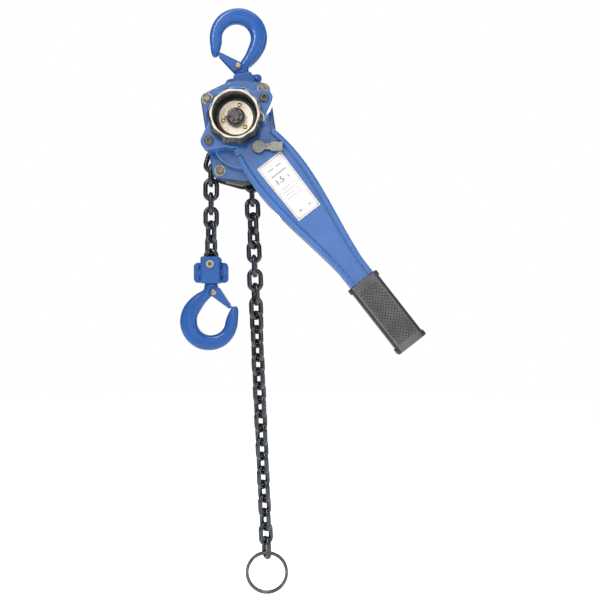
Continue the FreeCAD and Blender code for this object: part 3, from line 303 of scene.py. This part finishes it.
# ---------------------------------------------------------------- materials
def blue_paint(name, deep, light, wear=0.15, gloss=0.24, coat=0.7, shine=0.5):
    """Thick sprayed enamel: slight orange peel, softer and darker patches, dust and rubbed edges."""
    g = Graph(name, deep, gloss, 0)
    patches = g.span(g.noise(14, 3), 0.35, 0.68)
    paint = g.mix(patches, deep, light)
    fine = g.span(g.noise(520, 2), 0.35, 0.75, 0.0, 0.12)
    paint = g.mix(fine, paint, tuple(c * 0.75 for c in deep))
    rubbed = g.math("MULTIPLY", edge_wear(g), wear)
    g.colour(g.mix(rubbed, paint, tuple(min(1, c * 1.9 + 0.05) for c in light)))
    g.rough(g.span(g.noise(60, 4), 0.3, 0.7, gloss * 0.8, gloss * 1.9))
    g.bump(g.noise(240, 2), 0.00005, 0.35)
    g.bump(g.noise(38, 2), 0.0006, 0.25)
    g.shader.inputs["Specular IOR Level"].default_value = shine
    g.coat(coat, 0.04)
    return g.material


def black_paint():
    """Thin black paint on the plates and guides, dusty, with grey edges."""
    base, gloss = (0.012, 0.016, 0.018), 0.32
    g = Graph("plate_black", base, gloss, 0)
    dusty = tuple(c * 2.6 + 0.012 for c in base)
    tone = g.mix(g.span(g.noise(45, 5), 0.45, 0.75), base, dusty)
    g.colour(g.mix(g.math("MULTIPLY", edge_wear(g), 0.5), tone, (0.16, 0.16, 0.15)))
    g.rough(g.span(g.noise(90, 4), 0.3, 0.7, gloss * 0.8, gloss * 1.6))
    g.bump(g.noise(300, 3), 0.0002, 0.5)
    g.coat(0.2, 0.15)
    return g.material


def chain_steel():
    """Black-oxide alloy steel with an oily film and worn contact spots."""
    g = Graph("chain_oxide", (0.01, 0.016, 0.022), 0.3, 0.25)
    tone = g.ramp(g.noise(70, 6), [(0.3, (0.004, 0.007, 0.010)), (0.6, (0.011, 0.018, 0.025)),
                                   (0.85, (0.03, 0.038, 0.046))])
    g.colour(tone)
    g.rough(g.span(g.noise(150, 5), 0.3, 0.7, 0.15, 0.36))
    g.bump(g.noise(500, 4), 0.00012, 0.5)
    g.coat(0.5, 0.08)
    return g.material


def plated_steel(name, base=(0.55, 0.55, 0.52), roughness=0.3):
    """Zinc plating: bright, with a warm yellow cast in patches and faint tool marks."""
    g = Graph(name, base, roughness, 1)
    warm = (base[0] * 1.08, base[1] * 1.0, base[2] * 0.82)
    g.colour(g.mix(g.span(g.noise(120, 5), 0.4, 0.7), base, warm))
    g.rough(g.span(g.noise(260, 4), 0.3, 0.7, roughness * 0.7, roughness * 1.5))
    g.bump(g.noise(700, 3), 0.00008, 0.5)
    return g.material


def dark_steel(name, base=(0.08, 0.075, 0.07), roughness=0.36):
    """Oiled steel in two tones of its base colour."""
    g = Graph(name, base, roughness, 0.9)
    g.colour(g.mix(g.span(g.noise(160, 5), 0.42, 0.72), base, tuple(c * 2.1 for c in base)))
    g.rough(g.span(g.noise(240, 4), 0.3, 0.7, roughness * 0.7, roughness * 1.5))
    g.bump(g.noise(600, 3), 0.0001, 0.5)
    return g.material


def nut_material():
    """A bright washer flange under a darker, oiled hexagon."""
    g = Graph("stay_nut_plating", (0.6, 0.58, 0.52), 0.3, 1)
    reach = g.math("ABSOLUTE", g.axis("Y"))
    on_nut = g.span(reach, 28.35 * MM, 28.7 * MM)
    washer = g.mix(g.span(g.noise(150, 5), 0.4, 0.7), (0.50, 0.46, 0.38), (0.34, 0.31, 0.24))
    hexagon = g.mix(g.span(g.noise(200, 5), 0.4, 0.7), (0.10, 0.09, 0.07), (0.22, 0.20, 0.16))
    g.colour(g.mix(on_nut, washer, hexagon))
    g.rough(g.span(g.noise(260, 4), 0.3, 0.7, 0.2, 0.42))
    g.bump(g.noise(700, 3), 0.0001, 0.5)
    return g.material


def pin_head_material():
    """The chain pin's end: a pale washer ring round a ring of painted shade for the gap, and a brassy
    centre.
    """
    g = Graph("pin_head", (0.4, 0.36, 0.27), 0.34, 0.9)
    reach = g.radius_about(middle("chain_pin"))
    # painted shade: a dark ring between the brassy centre and the washer stands in for the shaded gap
    centre_and_gap_shade = g.mix(g.span(reach, 1.7 * MM, 1.9 * MM), (0.22, 0.15, 0.07), (0.03, 0.027, 0.022))
    g.colour(g.mix(g.span(reach, 2.8 * MM, 3.0 * MM), centre_and_gap_shade, (0.46, 0.42, 0.33)))
    g.rough(g.span(g.noise(260, 4), 0.3, 0.7, 0.24, 0.46))
    g.bump(g.noise(700, 3), 0.00008, 0.5)
    return g.material


def wheel_material():
    """Black paint that is rubbed through to pale metal along the front lip."""
    g = Graph("wheel_black", (0.012, 0.014, 0.017), 0.25, 0)
    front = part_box("hand_wheel")[0].y
    lip = g.span(g.axis("Y"), front + 1.8 * MM, front + 0.8 * MM)
    broken = g.math("ADD", lip, g.span(g.noise(130, 5), 0.3, 0.7, -0.15, 0.15))
    reach = g.radius_about(DRIVE_AXIS)
    edge = g.math("ADD", g.math("MULTIPLY", lobes_about_drive(g, 10, 33), 0.7 * MM), 33.4 * MM)
    inside_edge = g.span(g.math("SUBTRACT", reach, edge), 0.35 * MM, -0.35 * MM)
    outside = g.math("MULTIPLY", g.span(reach, 29.9 * MM, 30.5 * MM), inside_edge)
    bare = g.math("MULTIPLY", g.span(broken, 0.3, 0.5), outside)
    pale = g.mix(g.span(g.noise(60, 4), 0.35, 0.7), (0.62, 0.54, 0.43), (0.78, 0.72, 0.62))
    black = g.mix(g.span(g.noise(50, 4), 0.45, 0.75), (0.01, 0.012, 0.015), (0.028, 0.032, 0.037))
    g.colour(g.mix(bare, black, pale))
    g.link(g.math("MULTIPLY", bare, 0.55), g.shader.inputs["Metallic"])
    g.rough(g.span(g.noise(90, 4), 0.3, 0.7, 0.2, 0.4))
    g.bump(g.noise(320, 3), 0.00018, 0.5)
    return g.material


def wheel_plate_material():
    """Cream-tinted zinc with turning rings about the drive axis."""
    g = Graph("wheel_plate_zinc", (0.72, 0.65, 0.52), 0.32, 0.75)
    rings = g.tree.nodes.new("ShaderNodeTexWave")
    rings.wave_type = "RINGS"
    rings.rings_direction = "Y"
    rings.inputs["Scale"].default_value = 320
    rings.inputs["Distortion"].default_value = 1.2
    g.link(g.from_drive_axis(), rings.inputs["Vector"])
    tone = g.mix(g.span(g.noise(45, 4), 0.35, 0.7), (0.62, 0.53, 0.4), (0.86, 0.79, 0.66))
    g.colour(tone)
    g.rough(g.span(g.noise(200, 4), 0.3, 0.7, 0.2, 0.42))
    g.bump(rings.outputs["Fac"], 0.00005, 0.6)
    return g.material


def brass():
    """The wheel's screws."""
    g = Graph("screw_brass", (0.72, 0.47, 0.16), 0.24, 1)
    g.colour(g.mix(g.span(g.noise(180, 4), 0.4, 0.7), (0.82, 0.56, 0.2), (0.5, 0.32, 0.12)))
    g.rough(g.span(g.noise(300, 4), 0.3, 0.7, 0.16, 0.36))
    g.bump(g.noise(500, 3), 0.00008, 0.5)
    return g.material


def rubber():
    """Moulded rubber: dusty grey on the hatched faces, with painted shade in the grooves, and darker on the
    edges.
    """
    g = Graph("grip_rubber", (0.022, 0.023, 0.025), 0.5, 0)
    offset = g.from_drive_axis()

    def along(direction):
        node = g.tree.nodes.new("ShaderNodeVectorMath")
        node.operation = "DOT_PRODUCT"
        g.link(offset, node.inputs[0])
        node.inputs[1].default_value = direction
        return g.math("DIVIDE", node.outputs["Value"], MM)

    u, v, w = along(ALONG), along(ACROSS), along(FORWARD)
    painted_groove_shade = None
    for kind in ("ADD", "SUBTRACT"):
        phase = g.math("FRACT", g.math("DIVIDE", g.math(kind, u, v), HATCH_PITCH))
        off = g.math("MULTIPLY", g.math("ABSOLUTE", g.math("SUBTRACT", phase, 0.5)), HATCH_PITCH)
        line = g.span(off, 0.9, 0.35)
        painted_groove_shade = line if painted_groove_shade is None else g.math("MAXIMUM", painted_groove_shade, line)
    reach = g.math("ABSOLUTE", v)
    from_end = g.math("MINIMUM", g.math("SUBTRACT", u, GRIP_START + 11.5),
                      g.math("SUBTRACT", GRIP_END - 11.5, u))
    hatched = g.math("MULTIPLY", g.span(reach, 15.6, 15.2), g.span(from_end, 0.0, 0.5))
    on_face = g.math("MULTIPLY", g.span(reach, 18.4, 17.6), g.span(g.math("ABSOLUTE", w), 0.0, 1.0))
    dust = g.span(g.noise(35, 5), 0.35, 0.7)
    face = g.mix(dust, (0.055, 0.055, 0.057), (0.105, 0.103, 0.102))
    # painted shade: the grooves between the raised diamonds are darkened
    face = g.mix(g.math("MULTIPLY", painted_groove_shade, hatched), face, (0.025, 0.027, 0.031))
    edge = g.mix(dust, (0.010, 0.012, 0.016), (0.024, 0.027, 0.032))
    tone = g.mix(on_face, edge, face)
    seam = g.math("MULTIPLY", g.span(g.math("ABSOLUTE", g.math("ADD", v, 17.9)), 0.45, 0.2), 0.6)
    g.colour(g.mix(seam, tone, (0.30, 0.29, 0.27)))
    g.rough(g.span(g.noise(120, 4), 0.3, 0.7, 0.42, 0.66))
    g.bump(g.noise(700, 3), 0.00012, 0.6)
    g.shader.inputs["Specular IOR Level"].default_value = 0.4
    return g.material


def grey_casting():
    """The selector's matt grey casting, with painted shade on the faces that do not face forward."""
    g = Graph("selector_casting", (0.25, 0.25, 0.225), 0.5, 0.1)
    tone = g.ramp(g.noise(160, 6), [(0.3, (0.15, 0.15, 0.135)), (0.6, (0.24, 0.24, 0.215)),
                                    (0.85, (0.36, 0.355, 0.32))])
    shape = g.tree.nodes.new("ShaderNodeTexCoord").outputs["Normal"]
    split = g.tree.nodes.new("ShaderNodeSeparateXYZ")
    g.link(shape, split.inputs["Vector"])
    # painted shade: faces that do not face forward are darkened to near black
    painted_shade_flank = g.span(split.outputs["Y"], -0.75, -0.35)
    g.colour(g.mix(painted_shade_flank, tone, (0.03, 0.032, 0.034)))
    g.rough(g.span(g.noise(200, 4), 0.3, 0.7, 0.4, 0.62))
    g.bump(g.noise(550, 5), 0.00035, 0.8)
    return g.material


def plate_enamel():
    """The data plate's off-white enamel."""
    g = Graph("plate_white", (0.66, 0.66, 0.65), 0.4, 0.0)
    g.colour(g.mix(g.span(g.noise(50, 5), 0.5, 0.8), (0.66, 0.66, 0.66), (0.57, 0.56, 0.54)))
    g.rough(g.span(g.noise(160, 4), 0.3, 0.7, 0.2, 0.4))
    g.bump(g.noise(300, 2), 0.00006, 0.4)
    g.shader.inputs["Specular IOR Level"].default_value = 0.3
    return g.material


def ink(name, colour):
    """Print on the data plate, slightly faded in places."""
    g = Graph(name, colour, 0.4, 0)
    faded = tuple(min(1, c * 1.6 + 0.05) for c in colour)
    g.colour(g.mix(g.span(g.noise(500, 4), 0.45, 0.8), colour, faded))
    return g.material


def fibre():
    """The brake discs' lining."""
    g = Graph("brake_lining", (0.2, 0.14, 0.09), 0.8, 0)
    g.colour(g.ramp(g.noise(500, 6), [(0.3, (0.08, 0.06, 0.04)), (0.7, (0.28, 0.2, 0.13))]))
    g.bump(g.noise(800, 4), 0.0002, 0.8)
    return g.material


def dress(material, *names):
    """Puts one material on whole CAD nodes."""
    for name in names:
        mesh = NODES[name].data
        mesh.materials.clear()
        mesh.materials.append(material)


def dress_nodes():
    hook_paint = blue_paint("hook_blue", (0.004, 0.062, 0.25), (0.007, 0.080, 0.31),
                            wear=0.2, gloss=0.34, coat=0.3, shine=0.3)
    body_paint = blue_paint("body_blue", (0.010, 0.086, 0.29), (0.016, 0.106, 0.36))
    dress(hook_paint, "top_hook", "bottom_hook", "top_yoke_front", "top_yoke_rear", "bottom_block_front",
          "bottom_block_rear", "top_latch", "bottom_latch", "top_yoke_rivets", "bottom_block_rivets")
    dress(body_paint, "brake_cover", "gear_cover", "lever_front_shell", "lever_rear_shell")
    dress(black_paint(), "side_plate_front", "side_plate_rear", "chain_guide", "chain_stripper")
    dress(chain_steel(), "wrapped_links", "load_links_upper", "load_links_lower", "tail_links_top",
          "tail_links_middle", "tail_links_low")
    dress(dark_steel("ring_steel", (0.06, 0.065, 0.07), 0.34), "end_ring")
    dress(wheel_material(), "hand_wheel")
    dress(wheel_plate_material(), "wheel_plate")
    dress(brass(), "wheel_screws")
    dress(nut_material(), "stay_nuts")
    dress(plated_steel("zinc_plate"), "pawl_posts", "top_pin")
    dress(plated_steel("yellow_plate", (0.34, 0.29, 0.2), 0.34), "top_latch_rivet", "bottom_latch_rivet")
    dress(dark_steel("bolt_steel", (0.16, 0.145, 0.115)), "stay_bolts")
    dress(pin_head_material(), "chain_pin")
    dress(dark_steel("oiled_steel"), "castle_nut", "lever_screws", "lever_gear", "friction_hub",
          "drive_pinion_shaft", "ratchet_disc", "pawl_left", "pawl_lower", "selector_pawl",
          "detent_plunger", "top_shank_nut", "bottom_shank_nut", "split_pin")
    dress(dark_steel("gear_steel", (0.3, 0.3, 0.3), 0.3), "load_sheave", "load_gear",
          "reduction_gear_upper", "reduction_gear_lower", "sheave_bearings")
    dress(plated_steel("spring_wire", (0.35, 0.35, 0.36), 0.28), "free_chain_spring", "pawl_springs")
    dress(fibre(), "friction_discs")
    dress(grey_casting(), "selector_knob")
    dress(plate_enamel(), "data_plate")
    dress(plated_steel("rivet_aluminium", (0.75, 0.72, 0.64), 0.25), "data_plate_rivets")


# ---------------------------------------------------------------- grip
HATCHED_HALF_WIDTH = 15.4
HATCHED_FROM_END = 12
GROOVE_DEPTH = 0.8


def grip_loop(half_width, half_depth, corner, relief):
    """One section of the grip as (across, forward) points; relief(across) sinks the two faces."""
    steps = 25
    flat = [STEP * i for i in range(1 - steps, steps)]
    scale = (half_width - corner) / (STEP * steps)
    arc = [math.radians(90 * i / 6) for i in range(1, 6)]
    v_centre, w_centre = half_width - corner, half_depth - corner
    points = [(v * scale, half_depth - relief(v)) for v in flat]
    points += [(v_centre + corner * math.sin(a), w_centre + corner * math.cos(a)) for a in arc]
    points += [(half_width, w_centre * (1 - i / 3)) for i in range(0, 7)]
    points += [(v_centre + corner * math.cos(a), -w_centre - corner * math.sin(a)) for a in arc]
    points += [(v * scale, -half_depth + relief(v)) for v in reversed(flat)]
    points += [(-v_centre - corner * math.sin(a), -w_centre - corner * math.cos(a)) for a in arc]
    points += [(-half_width, -w_centre * (1 - i / 3)) for i in range(0, 7)]
    points += [(-v_centre - corner * math.cos(a), w_centre + corner * math.sin(a)) for a in arc]
    return points


def hatch(u, v):
    """Depth of the crossed grooves between the raised diamonds, in millimetres."""
    from_end = min(u - GRIP_START, GRIP_END - u)
    if from_end <= HATCHED_FROM_END or abs(v) > HATCHED_HALF_WIDTH:
        return 0.0
    share = 0.0
    for across in (u + v, u - v):
        off = abs((across / HATCH_PITCH) % 1 - 0.5) * HATCH_PITCH
        share = max(share, 1 - off / (STEP * 1.1))
    return GROOVE_DEPTH * share


def grip_stations():
    """(distance along, half width, half depth) down the grip: a lip, the hatched body, a lip."""
    lip, body = (24.5, 14.7), (22.5, 13.5)
    end_length = 10

    def shrunk(size, by):
        return size[0] - by, size[1] - by

    near_end = [(0.0, shrunk(lip, 1.3)), (0.35, shrunk(lip, 0.5)), (1.3, lip), (6.8, lip),
                (7.6, shrunk(lip, 0.4)), (8.1, shrunk(body, -0.5)), (9.0, body)]
    stations = [(GRIP_START + along, *size) for along, size in near_end]
    count = int((GRIP_END - GRIP_START - 2 * end_length) / STEP)
    stations += [(GRIP_START + end_length + STEP * i, *body) for i in range(count + 1)]
    stations += [(GRIP_END - along, *size) for along, size in near_end[::-1]]
    return stations


def make_grip():
    """The moulded sleeve, with raised diamonds front and back, round the lever's end."""
    mesh = bmesh.new()
    corner, mouth_corner = 5.2, 2.0
    mouth_size, mouth_depth = (19.6, 10.35), 6.0

    def ring(u, section):
        return [mesh.verts.new(ON_LEVER @ (Vector((u, v, GRIP_MIDDLE + w)) * MM)) for v, w in section]

    loops = [ring(u, grip_loop(half_width, half_depth, corner, lambda v: hatch(u, v)))
             for u, half_width, half_depth in grip_stations()]
    mouth = [ring(GRIP_START + depth, grip_loop(*mouth_size, mouth_corner, lambda v: 0.0))
             for depth in (0.0, mouth_depth)]
    rows = [mouth[1], mouth[0]] + loops
    for row, following in zip(rows, rows[1:]):
        for i in range(len(row)):
            j = (i + 1) % len(row)
            mesh.faces.new((row[i], row[j], following[j], following[i]))
    mesh.faces.new(loops[-1])
    mesh.faces.new(mouth[1][::-1])
    bmesh.ops.recalc_face_normals(mesh, faces=mesh.faces)
    data = bpy.data.meshes.new("grip_sleeve")
    mesh.to_mesh(data)
    mesh.free()
    for face in data.polygons:
        face.use_smooth = True
    data.set_sharp_from_angle(angle=math.radians(38))
    data.materials.append(rubber())
    piece = place_object("grip_sleeve", data)
    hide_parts("lever_grip")
    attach(piece, "lever")


# ---------------------------------------------------------------- hand wheel spring
def make_spring():
    """The hand wheel's spring: a coil of round wire about the drive axis, moving with the drive."""
    low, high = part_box("free_chain_spring")
    wire = 0.45 * MM
    reach = (high.x - low.x) / 2 - wire
    turns, per_turn = 2.5, 48
    count = int(turns * per_turn)
    curve = bpy.data.curves.new("wheel_spring_path", "CURVE")
    curve.dimensions = "3D"
    curve.bevel_depth = wire
    curve.bevel_resolution = 3
    curve.use_fill_caps = True
    spline = curve.splines.new("POLY")
    spline.points.add(count)
    first, last = low.y + wire * 1.2, high.y - wire * 1.2
    for i, point in enumerate(spline.points):
        angle = 2 * math.pi * i / per_turn
        depth = first + (last - first) * i / count
        point.co = (DRIVE_AXIS.x + reach * math.cos(angle), depth, DRIVE_AXIS.z + reach * math.sin(angle), 1)
    loose = bpy.data.objects.new("loose_spring", curve)
    data = bpy.data.meshes.new_from_object(loose)
    bpy.data.objects.remove(loose)
    for face in data.polygons:
        face.use_smooth = True
    data.materials.clear()
    data.materials.append(plated_steel("wheel_spring_wire", (0.3, 0.3, 0.31), 0.28))
    piece = place_object("wheel_spring", data)
    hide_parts("free_chain_spring")
    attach(piece, "drive")
    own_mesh(piece)


# ---------------------------------------------------------------- data plate printing
# the plate's front face in the lever's axes, and the print's thickness, in millimetres
PLATE_FACE = 71.8
PRINT_THICKNESS = 0.06


def print_piece(name, bars, material):
    """Thin printed bars: each is four (along, across) corners in millimetres."""
    mesh = bmesh.new()
    for corners in bars:
        low = [mesh.verts.new(ON_LEVER @ (Vector((u, v, PLATE_FACE)) * MM)) for u, v in corners]
        high = [mesh.verts.new(ON_LEVER @ (Vector((u, v, PLATE_FACE + PRINT_THICKNESS)) * MM))
                for u, v in corners]
        mesh.faces.new(high)
        for i in range(4):
            j = (i + 1) % 4
            mesh.faces.new((low[i], low[j], high[j], high[i]))
    bmesh.ops.recalc_face_normals(mesh, faces=mesh.faces)
    data = bpy.data.meshes.new(name)
    mesh.to_mesh(data)
    mesh.free()
    data.materials.append(material)
    piece = place_object(name, data)
    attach(piece, "lever")


def bar(along, across, length, thick):
    """A bar that runs across the plate, centred on (along, across)."""
    half_u, half_v = thick / 2, length / 2
    return [(along - half_u, across - half_v), (along - half_u, across + half_v),
            (along + half_u, across + half_v), (along + half_u, across - half_v)]


def frame_bars(corners, inset, thick):
    """A thin outline inside the plate's corners."""
    centre_u = sum(u for u, v in corners) / 4
    rings = []
    for margin in (inset, inset + thick):
        rings.append([(u + math.copysign(margin, centre_u - u), v - math.copysign(margin, v))
                      for u, v in corners])
    return [[rings[0][i], rings[0][(i + 1) % 4], rings[1][(i + 1) % 4], rings[1][i]] for i in range(4)]


def rating_text(letters, size, along, across):
    """Plain numerals on the plate, read with the lever's head up."""
    name = "rating_" + letters.replace(".", "_")
    curve = bpy.data.curves.new(name, "FONT")
    curve.body = letters
    curve.size = size * MM
    curve.extrude = PRINT_THICKNESS / 2 * MM
    curve.align_x = "CENTER"
    loose = bpy.data.objects.new("loose_text", curve)
    data = bpy.data.meshes.new_from_object(loose)
    bpy.data.objects.remove(loose)
    lay = ON_LEVER @ Matrix.Translation(
        Vector((along, across, PLATE_FACE + PRINT_THICKNESS / 2)) * MM)
    data.transform(lay @ Matrix(((0, -1, 0, 0), (1, 0, 0, 0), (0, 0, 1, 0), (0, 0, 0, 1))))
    data.materials.clear()
    data.materials.append(ink("rating_ink", (0.015, 0.025, 0.08)))
    piece = place_object(name, data)
    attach(piece, "lever")


def print_plate():
    """The plate's thin border, plain bars and rows, and its load rating."""
    corners = [(73, -20.8), (166, -19), (166, 19), (73, 20.8)]
    print_piece("plate_border", frame_bars(corners, 1.6, 0.7), ink("border_ink", (0.3, 0.17, 0.07)))
    dark = [bar(95.6, -11 + 2.5 * i, 1.5, 1.8) for i in range(10)]
    dark += [bar(86, -6.5, 9, 0.9), bar(86, 6.5, 9, 0.9)]
    print_piece("plate_marks", dark, ink("mark_ink", (0.035, 0.04, 0.08)))
    rows = [bar(118 + 5 * i, -4, 14 + 4 * (i % 2), 0.7) for i in range(4)]
    rows += [bar(118 + 5 * i, 9, 5, 0.7) for i in range(4)] + [bar(156, -8, 5, 2.2), bar(156, 8, 4, 2.2)]
    print_piece("plate_rows", rows, ink("row_ink", (0.22, 0.23, 0.27)))
    rating_text("1.5", 11.5, 109, -5.5)
    rating_text("t", 8.5, 109, 9)


# ---------------------------------------------------------------- smooth shading
def shade_nodes():
    """Smooth shading with crisp edges over 35 degrees."""
    for node in NODES.values():
        if node.data.has_custom_normals:
            continue
        for face in node.data.polygons:
            face.use_smooth = True
        node.data.set_sharp_from_angle(angle=math.radians(35))


make_camera()
make_stage()
dress_nodes()
make_grip()
make_spring()
print_plate()
shade_nodes()
